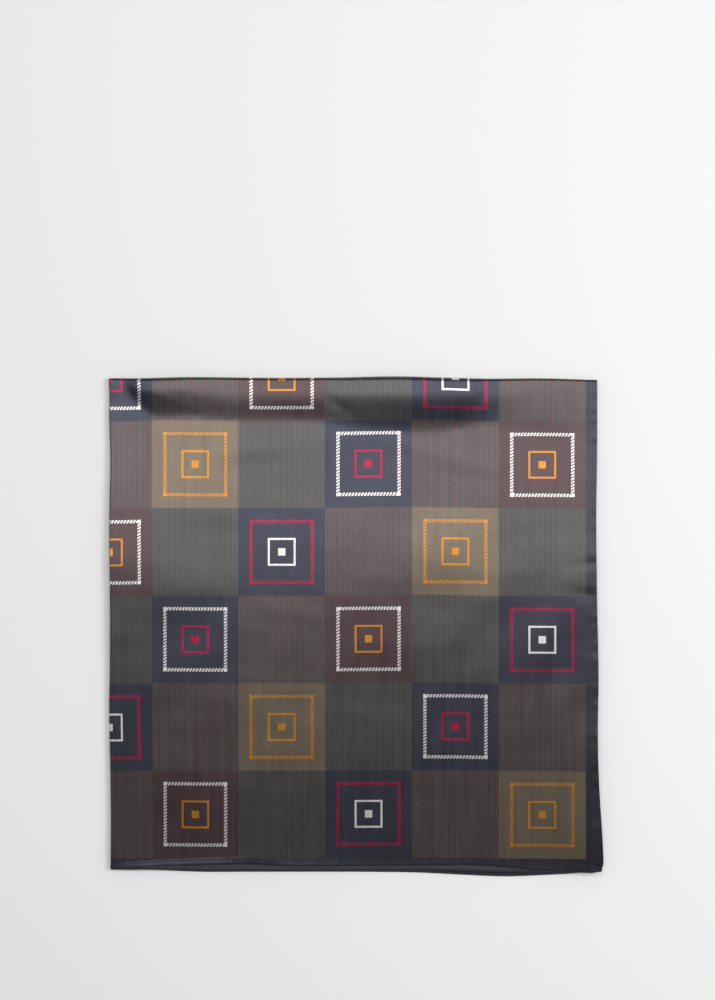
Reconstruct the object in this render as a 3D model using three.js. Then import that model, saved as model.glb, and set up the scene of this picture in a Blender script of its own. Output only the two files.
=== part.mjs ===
// A square satin headscarf folded in quarters and laid flat: one hemmed square of cloth, doubled
// over its upright middle line, then doubled again over its level middle line.
// Millimetres. X runs from the first fold to the open side hems, Y from the open lower hems to the
// second fold, and Z up from the surface that the scarf lies on.
import * as THREE from "three";

// The cloth, and how far apart its four layers lie
const SQUARE_SIDE = 900;
const FOLDED_SIDE = SQUARE_SIDE / 2;
const SHEET_THICKNESS = 1.0;
const LAYER_PITCH = 1.6;
const SATIN_COLOUR = 0x4d4c50;
const SATIN_ROUGHNESS = 0.45;

// The second fold is not pressed: all four layers roll over it in a soft, uneven puff. Its rounded
// front has the front share of the rise, the crest the whole of it, and the end none.
const PUFF = [
  { across: 0, rise: 0.4, front: 0.7, crest: 6, end: 22 },
  { across: 14, rise: 0.6, front: 0.8, crest: 6, end: 24 },
  { across: 28, rise: 2.2, front: 0.88, crest: 8, end: 33 },
  { across: 45, rise: 3.4, front: 0.92, crest: 9, end: 39 },
  { across: 62, rise: 3.2, front: 0.92, crest: 9, end: 39 },
  { across: 80, rise: 2.4, front: 0.9, crest: 11, end: 38 },
  { across: 110, rise: 2.3, front: 0.85, crest: 13, end: 43 },
  { across: 160, rise: 2.4, front: 0.85, crest: 13, end: 43 },
  { across: 200, rise: 2.8, front: 0.89, crest: 13, end: 46 },
  { across: 232, rise: 4.3, front: 0.92, crest: 13, end: 52 },
  { across: 265, rise: 4.9, front: 0.92, crest: 13, end: 56 },
  { across: 300, rise: 4.7, front: 0.92, crest: 13, end: 55 },
  { across: 330, rise: 3.9, front: 0.9, crest: 13, end: 49 },
  { across: 347, rise: 2.7, front: 0.88, crest: 12, end: 46 },
  { across: 365, rise: 1.7, front: 0.85, crest: 11, end: 48 },
  { across: 400, rise: 1.4, front: 0.8, crest: 9, end: 60 },
  { across: 425, rise: 0.9, front: 0.7, crest: 8, end: 62 },
  { across: 450, rise: 0.3, front: 0.5, crest: 8, end: 60 },
];

// How far each edge strays from a true square of FOLDED_SIDE, outwards positive. A stray is felt
// near its own edge: it falls off by this power of the distance from the opposite edge.
const STRAY_NEARNESS = 8;
const FIRST_FOLD_STRAY = [
  { down: 0, out: -0.5 },
  { down: 16, out: -1.1 },
  { down: 35, out: -0.9 },
  { down: 75, out: -1.9 },
  { down: 120, out: -1.2 },
  { down: 225, out: -1.6 },
  { down: 280, out: -1.2 },
  { down: 300, out: -0.8 },
  { down: 360, out: -1.8 },
  { down: 405, out: -2.3 },
  { down: 450, out: -2.1 },
];
const SECOND_FOLD_STRAY = [
  { across: 0, out: -0.7 },
  { across: 20, out: -0.9 },
  { across: 72, out: 0.2 },
  { across: 155, out: -0.5 },
  { across: 215, out: -0.1 },
  { across: 265, out: 0.9 },
  { across: 310, out: -0.3 },
  { across: 345, out: -1.2 },
  { across: 400, out: -0.9 },
  { across: 450, out: -2.4 },
];

// The open hems stray layer by layer, from the top layer down to the one on the surface
const SIDE_HEM_STRAY = [
  { down: 0, top: 0, second: -0.8, third: -0.8, under: 0 },
  { down: 70, top: -0.1, second: -0.8, third: -0.8, under: 0 },
  { down: 120, top: -0.95, second: -1.6, third: -1.5, under: -0.85 },
  { down: 195, top: -0.5, second: -1.4, third: -1.2, under: -0.4 },
  { down: 280, top: 0.95, second: 0.05, third: 0.35, under: 1.05 },
  { down: 325, top: 0.3, second: -0.3, third: 0, under: 0.5 },
  { down: 380, top: 1.2, second: 1, third: 1.5, under: 2.1 },
  { down: 420, top: 3.1, second: 2.8, third: 3.9, under: 4.8 },
  { down: 450, top: 4.1, second: 3.7, third: 5.3, under: 6.2 },
];
const LOWER_HEM_STRAY = [
  { across: 0, top: 2.8, second: 3, third: 2.4, under: 2.4 },
  { across: 16, top: 2.4, second: 3.5, third: 3, under: 3.2 },
  { across: 30, top: 1.7, second: 3.8, third: 3.5, under: 4 },
  { across: 45, top: 0.9, second: 4.1, third: 4.1, under: 4.8 },
  { across: 60, top: 0.2, second: 4.4, third: 4.6, under: 5.4 },
  { across: 90, top: -1, second: 4.6, third: 5, under: 6.1 },
  { across: 120, top: -1.6, second: 4.7, third: 5.1, under: 6 },
  { across: 160, top: 0.2, second: 4.6, third: 5.1, under: 6 },
  { across: 210, top: 0.6, second: 4.6, third: 5.4, under: 6.3 },
  { across: 240, top: 0.85, second: 4.7, third: 5.9, under: 6.8 },
  { across: 280, top: 0.6, second: 4.8, third: 6.4, under: 7.4 },
  { across: 335, top: -0.1, second: 5.2, third: 8, under: 9.6 },
  { across: 365, top: 1.3, second: 5.7, third: 8.4, under: 10.1 },
  { across: 400, top: 4.6, second: 6, third: 7.5, under: 8.6 },
  { across: 420, top: 5.2, second: 5.9, third: 6.6, under: 7.2 },
  { across: 435, top: 5.4, second: 5.5, third: 5.6, under: 5.8 },
  { across: 450, top: 6.3, second: 6.2, third: 6.4, under: 6.6 },
];

// The two upper layers lie loosely over the two below: they rise to a low crown that runs right
// across, with a few wide hills and one hollow
const CROWN = [
  { down: 40, up: 0 },
  { down: 80, up: 0.25 },
  { down: 130, up: 0.9 },
  { down: 180, up: 1.4 },
  { down: 230, up: 1.0 },
  { down: 290, up: 0.35 },
  { down: 360, up: 0.1 },
  { down: 450, up: 0 },
];
const HILLS = [
  { across: 10, down: 160, reachAcross: 55, reachDown: 75, height: 0.8 },
  { across: 140, down: 165, reachAcross: 60, reachDown: 75, height: -0.6 },
  { across: 290, down: 170, reachAcross: 60, reachDown: 75, height: 0.2 },
  { across: 455, down: 168, reachAcross: 45, reachDown: 72, height: 1.0 },
  { across: 150, down: 330, reachAcross: 90, reachDown: 80, height: 0.25 },
  { across: 330, down: 300, reachAcross: 80, reachDown: 70, height: 0.3 },
];

// The side hems curl up off the surface towards the corner of the open hems, all four together
const CURL_HEIGHT = 6.5;
const CURL_ACROSS = { from: 385, to: 456 };
const CURL_DOWN = { from: 120, to: 440 };

// Grid stations: close together round the folds, wide apart where the cloth lies flat
const TURN_STEPS = 6;
const PUFF_TURN_STEPS = 8;
const PUFF_END = 60;
const PUFF_STEPS = 11;
const UNDER_PUFF_STEP = 14;
const FLAT_STEPS_DOWN = 14;
const FLAT_STEPS_ACROSS = 13;
const CURL_STEPS = 4;
const NEAR_FOLD_STEP = 9;

const RIGHT_ANGLE = Math.PI / 2;

// The slope of a table's column at one of its rows, from the rows beside it
function rowSlope(rows, key, column, i) {
  const before = rows[Math.max(i - 1, 0)];
  const here = rows[i];
  const after = rows[Math.min(i + 1, rows.length - 1)];
  if (before === here || after === here) {
    return (after[column] - before[column]) / (after[key] - before[key]);
  }
  const back = here[key] - before[key];
  const ahead = after[key] - here[key];
  const slopeBack = (here[column] - before[column]) / back;
  const slopeAhead = (after[column] - here[column]) / ahead;
  return (slopeBack * ahead + slopeAhead * back) / (back + ahead);
}

// One column of a table at a place along it: a cubic from row to row, level past the ends
function tableValue(rows, key, column, at) {
  const last = rows.length - 1;
  const place = THREE.MathUtils.clamp(at, rows[0][key], rows[last][key]);
  const next = Math.max(rows.findIndex((row) => row[key] >= place), 1);
  const before = rows[next - 1];
  const after = rows[next];
  const gap = after[key] - before[key];
  const s = (place - before[key]) / gap;
  const share = s * s * (3 - 2 * s);
  const leaving = s * (1 - s) ** 2 * gap * rowSlope(rows, key, column, next - 1);
  const arriving = s * s * (s - 1) * gap * rowSlope(rows, key, column, next);
  return THREE.MathUtils.lerp(before[column], after[column], share) + leaving + arriving;
}

// Even steps from one place to another, both included
function evenSteps(from, to, steps) {
  return Array.from({ length: steps + 1 }, (_, i) => from + ((to - from) * i) / steps);
}

// Half the thickness of a pair of layers: from its middle to its outer face
const PAIR_HALF = (LAYER_PITCH + SHEET_THICKNESS) / 2;
const UNDER_PAIR_HEIGHT = PAIR_HALF;
const UPPER_PAIR_HEIGHT = UNDER_PAIR_HEIGHT + 2 * LAYER_PITCH;

// The section of one pair round the first fold, as stations from the inner layer to the outer one.
// Each has its distance from the fold's edge, the turn it has made, and where it lies in the pair.
function firstFoldStations() {
  const radius = LAYER_PITCH / 2;
  const flat = [
    PAIR_HALF + NEAR_FOLD_STEP,
    ...evenSteps(PAIR_HALF + 2 * NEAR_FOLD_STEP, CURL_ACROSS.from, FLAT_STEPS_ACROSS),
    ...evenSteps(CURL_ACROSS.from, FOLDED_SIDE, CURL_STEPS).slice(1),
  ];
  const inner = flat.toReversed().map((across) => ({ across, turn: -RIGHT_ANGLE }));
  const round = evenSteps(-RIGHT_ANGLE, RIGHT_ANGLE, TURN_STEPS).map((turn) => ({
    across: PAIR_HALF - radius * Math.cos(turn),
    turn,
  }));
  const outer = flat.map((across) => ({ across, turn: RIGHT_ANGLE }));
  return [...inner, ...round, ...outer];
}

// How far the puff, the crown and the hills lift the upper pair at a place
function loftAt(across, down, frontInset) {
  const puff = (column) => tableValue(PUFF, "across", column, across);
  const climb = THREE.MathUtils.smoothstep(down, frontInset, puff("crest"));
  const fall = THREE.MathUtils.smoothstep(down, puff("crest"), puff("end"));
  const share = THREE.MathUtils.lerp(puff("front"), 1, climb) * (1 - fall);
  const hills = HILLS.map((hill) => {
    const a = (across - hill.across) / hill.reachAcross;
    const d = (down - hill.down) / hill.reachDown;
    return hill.height * Math.exp(-a * a - d * d);
  });
  const crown = tableValue(CROWN, "down", "up", down);
  return hills.reduce((sum, height) => sum + height, puff("rise") * share + crown);
}

// How far all four layers curl up off the surface at a place
function curlAt(across, down) {
  const share = Math.max(0, (across - CURL_ACROSS.from) / (CURL_ACROSS.to - CURL_ACROSS.from));
  return CURL_HEIGHT * share * share * THREE.MathUtils.smoothstep(down, CURL_DOWN.from, CURL_DOWN.to);
}

// The stations of a pair's middle line round the second fold, from the lower hems underneath to
// the lower hems on top. Only what differs along X is left for middleLine to work out.
function secondFoldStations() {
  const flat = evenSteps(PUFF_END, FOLDED_SIDE, FLAT_STEPS_DOWN);
  const under = [...flat.toReversed(), 3 * UNDER_PUFF_STEP, 2 * UNDER_PUFF_STEP, UNDER_PUFF_STEP];
  const puff = evenSteps(0, 1, PUFF_STEPS).slice(1, -1);
  return [
    ...under.map((down) => ({ part: "under", down })),
    ...evenSteps(-RIGHT_ANGLE, RIGHT_ANGLE, PUFF_TURN_STEPS).map((turn) => ({ part: "turn", turn })),
    ...puff.map((share) => ({ part: "puff", share })),
    ...flat.map((down) => ({ part: "over", down })),
  ];
}

// A pair's middle line at one station: distance from the second fold's edge, height, and the
// direction across the pair towards its outer layer
function middleLine(station, across) {
  const rise = tableValue(PUFF, "across", "rise", across);
  const front = tableValue(PUFF, "across", "front", across);
  const frontHeight = UPPER_PAIR_HEIGHT + rise * front;
  const radius = (frontHeight - UNDER_PAIR_HEIGHT) / 2;
  const frontInset = radius + PAIR_HALF;
  if (station.part === "under") {
    return { down: station.down, height: UNDER_PAIR_HEIGHT, outY: 0, outZ: -1, upper: 0 };
  }
  if (station.part === "turn") {
    return {
      down: frontInset - radius * Math.cos(station.turn),
      height: UNDER_PAIR_HEIGHT + radius * (1 + Math.sin(station.turn)),
      outY: Math.cos(station.turn),
      outZ: Math.sin(station.turn),
      upper: (1 + Math.sin(station.turn)) / 2,
    };
  }
  const down =
    station.part === "puff"
      ? THREE.MathUtils.lerp(frontInset, PUFF_END, station.share)
      : station.down;
  const step = 0.5;
  const heightAt = (place) => UPPER_PAIR_HEIGHT + loftAt(across, place, frontInset);
  const slope = (heightAt(down - step) - heightAt(down + step)) / (2 * step);
  const length = Math.hypot(1, slope);
  return { down, height: heightAt(down), outY: -slope / length, outZ: 1 / length, upper: 1 };
}

// How far a hem strays, blended from the four layers by where the cloth lies among them
function hemStray(rows, key, at, upper, outer) {
  const value = (column) => tableValue(rows, key, column, at);
  const above = THREE.MathUtils.lerp(value("second"), value("top"), outer);
  const below = THREE.MathUtils.lerp(value("third"), value("under"), outer);
  return THREE.MathUtils.lerp(below, above, upper);
}

// The two faces of the cloth at one crossing of the stations
function clothFaces(column, row) {
  const line = middleLine(row, column.across);
  const place = (LAYER_PITCH / 2) * Math.sin(column.turn);
  const down = line.down - place * line.outY;
  const acrossShare = column.across / FOLDED_SIDE;
  const downShare = down / FOLDED_SIDE;
  const near = (share) => share ** STRAY_NEARNESS;
  const outer = (1 + Math.sin(column.turn)) / 2;
  const sideOut = hemStray(SIDE_HEM_STRAY, "down", down, line.upper, outer);
  const lowerOut = hemStray(LOWER_HEM_STRAY, "across", column.across, line.upper, outer);
  const firstOut = tableValue(FIRST_FOLD_STRAY, "down", "out", down);
  const secondOut = tableValue(SECOND_FOLD_STRAY, "across", "out", column.across);
  const middle = new THREE.Vector3(
    column.across + sideOut * near(acrossShare) - firstOut * near(1 - acrossShare),
    -down - lowerOut * near(downShare) + secondOut * near(1 - downShare),
    line.height + place * line.outZ + curlAt(column.across, down),
  );
  const normal = new THREE.Vector3(
    -Math.cos(column.turn),
    Math.sin(column.turn) * line.outY,
    Math.sin(column.turn) * line.outZ,
  );
  const half = SHEET_THICKNESS / 2;
  return {
    outside: middle.clone().addScaledVector(normal, half),
    inside: middle.clone().addScaledVector(normal, -half),
  };
}

// The sheet as one closed surface: its outside, its inside, and a rim round the four hems
function foldedCloth() {
  const columns = firstFoldStations();
  const rows = secondFoldStations();
  const points = [];
  const faces = rows.map((row) => columns.map((column) => clothFaces(column, row)));
  for (const side of ["outside", "inside"]) {
    for (const row of faces) {
      for (const crossing of row) {
        points.push(crossing[side]);
      }
    }
  }
  const insideStart = rows.length * columns.length;
  const outside = (row, column) => row * columns.length + column;
  const inside = (row, column) => insideStart + outside(row, column);
  const index = [];
  const quad = (a, b, c, d) => index.push(a, b, c, a, c, d);
  const lastRow = rows.length - 1;
  const lastColumn = columns.length - 1;
  for (let r = 0; r < lastRow; r += 1) {
    for (let c = 0; c < lastColumn; c += 1) {
      quad(outside(r, c), outside(r + 1, c), outside(r + 1, c + 1), outside(r, c + 1));
      quad(inside(r, c), inside(r, c + 1), inside(r + 1, c + 1), inside(r + 1, c));
    }
    quad(outside(r, 0), inside(r, 0), inside(r + 1, 0), outside(r + 1, 0));
    const [c, next] = [lastColumn, r + 1];
    quad(outside(r, c), outside(next, c), inside(next, c), inside(r, c));
  }
  for (let c = 0; c < lastColumn; c += 1) {
    quad(outside(0, c), outside(0, c + 1), inside(0, c + 1), inside(0, c));
    quad(outside(lastRow, c), inside(lastRow, c), inside(lastRow, c + 1), outside(lastRow, c + 1));
  }
  const geometry = new THREE.BufferGeometry().setFromPoints(points);
  geometry.setIndex(index);
  return geometry;
}

// The part's origin is the middle of its box, on the surface that it lies on
function centredOnItsBox(geometry) {
  geometry.computeBoundingBox();
  const middle = geometry.boundingBox.getCenter(new THREE.Vector3());
  geometry.translate(-middle.x, -middle.y, -geometry.boundingBox.min.z);
  geometry.computeVertexNormals();
  return geometry;
}

const satin = new THREE.MeshStandardMaterial({
  name: "printed_satin",
  color: SATIN_COLOUR,
  roughness: SATIN_ROUGHNESS,
  metalness: 0,
});

const headscarf = new THREE.Mesh(centredOnItsBox(foldedCloth()), satin);
headscarf.name = "headscarf";

const group = new THREE.Group();
group.name = "folded_headscarf";
group.add(headscarf);

export default group;
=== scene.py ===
# %% [markdown]
# # A satin headscarf, folded in quarters
#
# The real object is one square of printed satin, about 90 cm a side, with a narrow stitched hem.
# It lies folded in quarters: doubled over its upright middle line, which makes the flat left edge,
# then doubled again over its level middle line, which makes the soft, puffed far edge. The other
# two edges are the open hems of all four layers.
#
# The solid from the CAD model has the same folds in a thick, coarse sheet. Here the cloth is built
# again in its own thin satin around the same box, so nothing has to be fitted afterwards.

# %% The frame, and the box that the visual model keeps to
import math

import bpy
import numpy as np
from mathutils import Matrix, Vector


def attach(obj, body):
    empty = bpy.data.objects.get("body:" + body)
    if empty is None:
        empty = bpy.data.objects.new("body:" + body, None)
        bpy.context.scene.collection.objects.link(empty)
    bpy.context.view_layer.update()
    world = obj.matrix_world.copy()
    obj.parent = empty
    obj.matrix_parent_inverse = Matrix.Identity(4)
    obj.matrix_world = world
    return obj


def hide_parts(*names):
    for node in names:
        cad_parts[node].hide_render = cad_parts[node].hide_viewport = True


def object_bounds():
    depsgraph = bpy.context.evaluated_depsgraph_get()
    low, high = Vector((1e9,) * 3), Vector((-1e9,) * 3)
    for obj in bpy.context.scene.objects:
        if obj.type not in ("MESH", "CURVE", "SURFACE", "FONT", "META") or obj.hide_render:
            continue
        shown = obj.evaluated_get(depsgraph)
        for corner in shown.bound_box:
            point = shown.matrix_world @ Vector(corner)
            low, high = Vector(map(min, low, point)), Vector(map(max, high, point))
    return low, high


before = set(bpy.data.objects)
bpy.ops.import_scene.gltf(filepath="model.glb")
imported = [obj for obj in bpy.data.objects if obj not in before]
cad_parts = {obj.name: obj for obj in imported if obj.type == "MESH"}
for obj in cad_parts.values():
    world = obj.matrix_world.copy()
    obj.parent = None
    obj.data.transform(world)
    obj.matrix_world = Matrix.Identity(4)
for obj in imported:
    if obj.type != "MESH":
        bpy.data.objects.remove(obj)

CAD_LOW, CAD_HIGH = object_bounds()
MM = 0.001
print("box of the solid, mm:", [round((b - a) / MM, 1) for a, b in zip(CAD_LOW, CAD_HIGH)])

# %% [markdown]
# ## Reading a table as a smooth curve
#
# A hand-folded scarf is never a true square: every edge strays a little, and the puffed fold rises
# and sinks along its length. Such unevenness is easiest to keep in short tables of places and
# sizes. A curve through their rows has to be smooth in slope as well as in height, because satin
# shows every kink of the surface as a line in its shine. So the tables are read with cubic pieces
# instead of straight ones.

# %% Curves through short tables
def eased(share):
    """A share from 0 to 1 that starts and ends level: 3 s^2 - 2 s^3, held at 0 and 1 outside."""
    held = np.clip(share, 0, 1)
    return held * held * (3 - 2 * held)


def through(at, places, values):
    """A smooth curve through a table's rows, read at every point of an array.

    Between two rows it is the cubic that meets both values, with the slope at each row taken from
    the rows beside it. Past the first and the last row it stays level.
    """
    places, values = np.asarray(places, float), np.asarray(values, float)
    slopes = np.gradient(values, places)
    at = np.clip(at, places[0], places[-1])
    row = np.clip(np.searchsorted(places, at, side="right") - 1, 0, len(places) - 2)
    gap = places[row + 1] - places[row]
    s = (at - places[row]) / gap
    start, leave = 2 * s**3 - 3 * s**2 + 1, s**3 - 2 * s**2 + s
    end, arrive = 3 * s**2 - 2 * s**3, s**3 - s**2
    return (
        start * values[row]
        + leave * gap * slopes[row]
        + end * values[row + 1]
        + arrive * gap * slopes[row + 1]
    )


def column(table, name, at):
    """One column of a table of millimetres, read at places in metres, as metres."""
    return MM * through(np.asarray(at) / MM, table["at"], table[name])


print("eased at a quarter, a half and three quarters:", eased(np.array([0.25, 0.5, 0.75])))

# %% [markdown]
# ## The cloth's own sizes
#
# Places on the cloth are given as u and v, the distances in metres from its two middle lines,
# where it is folded. So u and v run from -0.45 to 0.45, the hems lie at the ends of both, and the
# print can later be drawn in the same two numbers. Positive u is the half of the cloth that ends
# up outside when it is doubled the first time, positive v the half that ends up on top.

# %% Named sizes of the cloth and its fold
FOLDED_SIDE = 450 * MM
LAYER_PITCH = 1.3 * MM
HEM_THICKNESS = 0.9 * MM
STITCH_INSET = 3.9 * MM
QUARTER_TURN = math.pi / 2

PAIR_HALF = LAYER_PITCH / 2 + HEM_THICKNESS / 2
UNDER_PAIR_HEIGHT = PAIR_HALF
UPPER_PAIR_HEIGHT = UNDER_PAIR_HEIGHT + 2 * LAYER_PITCH

# The puffed fold, along its length: how high it rises, what share of the rise its rounded front
# already has, and how far in its crest and its end lie
PUFF = {
    "at": [0, 14, 28, 45, 62, 80, 110, 160, 200, 232, 265, 300, 330, 347, 365, 400, 425, 450],
    "rise": [0.4, 0.6, 2.2, 3.4, 3.2, 2.4, 2.3, 2.4, 2.8, 4.3, 4.9, 4.7, 3.9, 2.7, 1.7, 1.4, 0.9, 0.3],
    "front": [
        0.70, 0.80, 0.88, 0.92, 0.92, 0.90, 0.85, 0.85, 0.89,
        0.92, 0.92, 0.92, 0.90, 0.88, 0.85, 0.80, 0.70, 0.50,
    ],
    "crest": [6, 6, 8, 9, 9, 11, 13, 13, 13, 13, 13, 13, 13, 12, 11, 9, 8, 8],
    "end": [22, 24, 33, 39, 39, 38, 43, 43, 46, 52, 56, 55, 49, 46, 48, 60, 62, 60],
}

# How far the edges stray from a true square, outwards positive
FIRST_FOLD_STRAY = {
    "at": [0, 16, 35, 75, 120, 225, 280, 300, 360, 405, 450],
    "out": [-0.5, -1.1, -0.9, -1.9, -1.2, -1.6, -1.2, -0.8, -1.8, -2.3, -2.1],
}
SECOND_FOLD_STRAY = {
    "at": [0, 20, 72, 155, 215, 265, 310, 345, 400, 450],
    "out": [-0.7, -0.9, 0.2, -0.5, -0.1, 0.9, -0.3, -1.2, -0.9, -2.4],
}
SIDE_HEM_STRAY = {
    "at": [0, 70, 120, 195, 280, 325, 380, 420, 450],
    "top": [0, -0.1, -0.95, -0.5, 0.95, 0.3, 1.2, 3.1, 4.1],
    "second": [-0.8, -0.8, -1.6, -1.4, 0.05, -0.3, 1.0, 2.8, 3.7],
    "third": [-0.8, -0.8, -1.5, -1.2, 0.35, 0, 1.5, 3.9, 5.3],
    "under": [0, 0, -0.85, -0.4, 1.05, 0.5, 2.1, 4.8, 6.2],
}
LOWER_HEM_STRAY = {
    "at": [0, 16, 30, 45, 60, 90, 120, 160, 210, 240, 280, 335, 365, 400, 420, 435, 450],
    "top": [2.8, 2.4, 1.7, 0.9, 0.2, -1.0, -1.6, 0.2, 0.6, 0.85, 0.6, -0.1, 1.3, 4.6, 5.2, 5.4, 6.3],
    "second": [3.0, 3.5, 3.8, 4.1, 4.4, 4.6, 4.7, 4.6, 4.6, 4.7, 4.8, 5.2, 5.7, 6.0, 5.9, 5.5, 6.2],
    "third": [2.4, 3.0, 3.5, 4.1, 4.6, 5.0, 5.1, 5.1, 5.4, 5.9, 6.4, 8.0, 8.4, 7.5, 6.6, 5.6, 6.4],
    "under": [2.4, 3.2, 4.0, 4.8, 5.4, 6.1, 6.0, 6.0, 6.3, 6.8, 7.4, 9.6, 10.1, 8.6, 7.2, 5.8, 6.6],
}
print("four layers at the hems, mm:", round((UPPER_PAIR_HEIGHT + PAIR_HALF) / MM, 2))

# %% [markdown]
# ## The first fold
#
# Doubling a cloth over a line bends it in one direction only. In section it is two level runs
# joined by a half circle, so its place across and its turn both follow from one number, the
# distance along the cloth. A simulation would settle the fold wherever it fell, but this way the
# edge lies where the table says, and the cloth is never stretched, whatever the fold's radius.

# %% The section round the first fold
def first_fold(u):
    """Where the cloth lies across the first fold, and how far it has turned there.

    The turn is u over the fold's radius, held between minus and plus a quarter turn. The distance
    from the fold's edge is the circle's own, plus what is left of |u| past the quarter turn.
    """
    radius = LAYER_PITCH / 2
    turn = np.clip(u / radius, -QUARTER_TURN, QUARTER_TURN)
    run = np.maximum(np.abs(u) - radius * QUARTER_TURN, 0)
    return PAIR_HALF - radius * np.cos(turn) + run, turn


print("the doubled cloth reaches, mm:", round(float(first_fold(FOLDED_SIDE)[0]) / MM, 2))

# %% [markdown]
# ## The second fold and the puff
#
# The doubled cloth is folded over once more, and this fold isn't pressed: its four layers roll over
# in a loose bulge that is higher than the layers behind it. The bulge catches the light on its
# front slope and turns dark on its back slope, which makes the strongest shading in the scarf.
#
# The middle line of a pair of layers is worked out first, then each layer is set off from it along
# the line's own normal, which keeps the layers evenly apart all the way round.

# %% The height of the upper pair
CROWN = {
    "at": [40, 80, 130, 180, 230, 290, 360, 450],
    "up": [0, 0.25, 0.9, 1.4, 1.0, 0.35, 0.1, 0],
}
SWELLS = [
    # across, down, reach across, reach down, height, in mm
    (10, 160, 55, 75, 0.8),
    (140, 165, 60, 75, -0.6),
    (290, 170, 60, 75, 0.2),
    (455, 168, 45, 72, 1.0),
    (150, 330, 90, 80, 0.25),
    (330, 300, 80, 70, 0.3),
]
CORNER_LIFT = 6.5 * MM
LIFT_ACROSS = (385 * MM, 456 * MM)
LIFT_DOWN = (120 * MM, 440 * MM)
SLOPE_STEP = 0.2 * MM


def puff_height(across, down, radius):
    """The bulge above the level layers: from its front share it eases up to the crest, and from
    the crest it eases down to nothing at its end."""
    rise, crest, end = (column(PUFF, name, across) for name in ("rise", "crest", "end"))
    share = column(PUFF, "front", across) / MM
    front = radius + PAIR_HALF
    climb = share + (1 - share) * eased((down - front) / (crest - front))
    return rise * climb * (1 - eased((down - crest) / (end - crest)))


def swell_height(across, down):
    """Low, wide hills where the upper layers lie loosely: a crown right across, from its table,
    and the sum of a few bell curves."""
    total = column(CROWN, "up", down)
    for mid_across, mid_down, reach_across, reach_down, height in SWELLS:
        a = (across / MM - mid_across) / reach_across
        b = (down / MM - mid_down) / reach_down
        total = total + height * MM * np.exp(-(a * a + b * b))
    return total


def corner_lift(across, down):
    """The whole stack stands a little off the surface at the corner of the open hems."""
    a = np.maximum((across - LIFT_ACROSS[0]) / (LIFT_ACROSS[1] - LIFT_ACROSS[0]), 0)
    b = eased((down - LIFT_DOWN[0]) / (LIFT_DOWN[1] - LIFT_DOWN[0]))
    return CORNER_LIFT * a * a * b


def second_fold(v, across):
    """The middle line of a pair of layers round the second fold.

    Below, it is level. Round the turn it is a half circle whose radius follows the puff's front,
    and above it has the puff, the swells and the corner's lift. Returns the distance down from
    the fold's edge, the height, the two parts of the normal, and the share of the way to the top.
    """
    share = column(PUFF, "front", across) / MM
    front = UPPER_PAIR_HEIGHT + share * column(PUFF, "rise", across)
    radius = (front - UNDER_PAIR_HEIGHT) / 2
    turn = np.clip(v / radius, -QUARTER_TURN, QUARTER_TURN)
    run = np.maximum(np.abs(v) - radius * QUARTER_TURN, 0)
    down = PAIR_HALF + radius * (1 - np.cos(turn)) + run

    def upper(place):
        return UPPER_PAIR_HEIGHT + puff_height(across, place, radius) + swell_height(across, place)

    slope = (upper(down - SLOPE_STEP) - upper(down + SLOPE_STEP)) / (2 * SLOPE_STEP)
    on_top = v > radius * QUARTER_TURN
    turned_height = UNDER_PAIR_HEIGHT + radius * (1 + np.sin(turn))
    height = np.where(on_top, upper(down), turned_height) + corner_lift(across, down)
    long = np.hypot(1, slope)
    out_y = np.where(on_top, -slope / long, np.cos(turn))
    out_z = np.where(on_top, 1 / long, np.sin(turn))
    return down, height, out_y, out_z, (1 + np.sin(turn)) / 2


print("the puff's highest rise, mm:", max(PUFF["rise"]), "and the corner's:", CORNER_LIFT / MM)

# %% [markdown]
# ## Creases and loose hems
#
# The broad forms above are common to several layers. What is left belongs to the top layer, the
# only one that is seen whole: a few soft creases and the way its lower hem stands up off the hem
# below it. The hems also wave a little on their own, each layer in its own rhythm.

# %% Small forms of single layers
CREASES = [
    # across, down, direction in degrees from across, half length, half width, height, in mm
    (446, 172, 4, 15, 3.0, -0.35),
    (443, 201, -12, 17, 5.0, -0.4),
    (21, 50.5, -20, 9, 1.8, -0.2),
    (25.5, 20, -45, 20, 5.0, -0.45),
    (60, 22, -20, 26, 4.5, 0.2),
    (212, 26, -34, 16, 4.0, -0.3),
    (346, 15, 62, 13, 4.0, -0.4),
    (424, 30, -70, 28, 6.0, -0.35),
    (36, 150, 82, 70, 16, 0.5),
    (300, 70, -15, 60, 9.0, 0.35),
    (130, 68, 8, 60, 9.0, 0.3),
    (400, 250, 70, 60, 14, 0.4),
]
HEM_WAVES = [
    # layer, height in mm, wave length along the side hem and along the lower hem, phase
    ("top", 0.30, 83, 97, 0.4),
    ("second", 0.22, 71, 62, 2.1),
    ("third", 0.20, 94, 78, 4.0),
    ("under", 0.12, 66, 88, 5.2),
]
HEM_WAVE_REACH = 24 * MM
HEM_WAVE_START = 80 * MM
UNEVEN_WAVES = 22
UNEVEN_SEED = 11
UNEVEN_LENGTHS = (16 * MM, 120 * MM)
UNEVEN_SLOPE = 0.0026
BEND_ACROSS, BEND_ACROSS_LENGTH = 9 * MM, 47 * MM
BEND_DOWN, BEND_DOWN_LENGTH = 7 * MM, 61 * MM
BLUNT_INSET = 1.7 * MM
BLUNT_REACH = 10 * MM
STRAY_NEARNESS = 8
LOWER_HEM_LIFT = {
    "at": [0, 10, 30, 60, 90, 110, 125, 145, 158, 190, 215, 260, 330, 400, 450],
    "up": [0, 0.25, 0.48, 0.55, 0.5, 0.3, 0.02, 0.02, 0.28, 0.28, 0.1, 0.1, 0, -0.1, -0.1],
}
LOWER_LIFT_REACH = 7.5 * MM
LOWER_LIFT_POWER = 1.15


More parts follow.
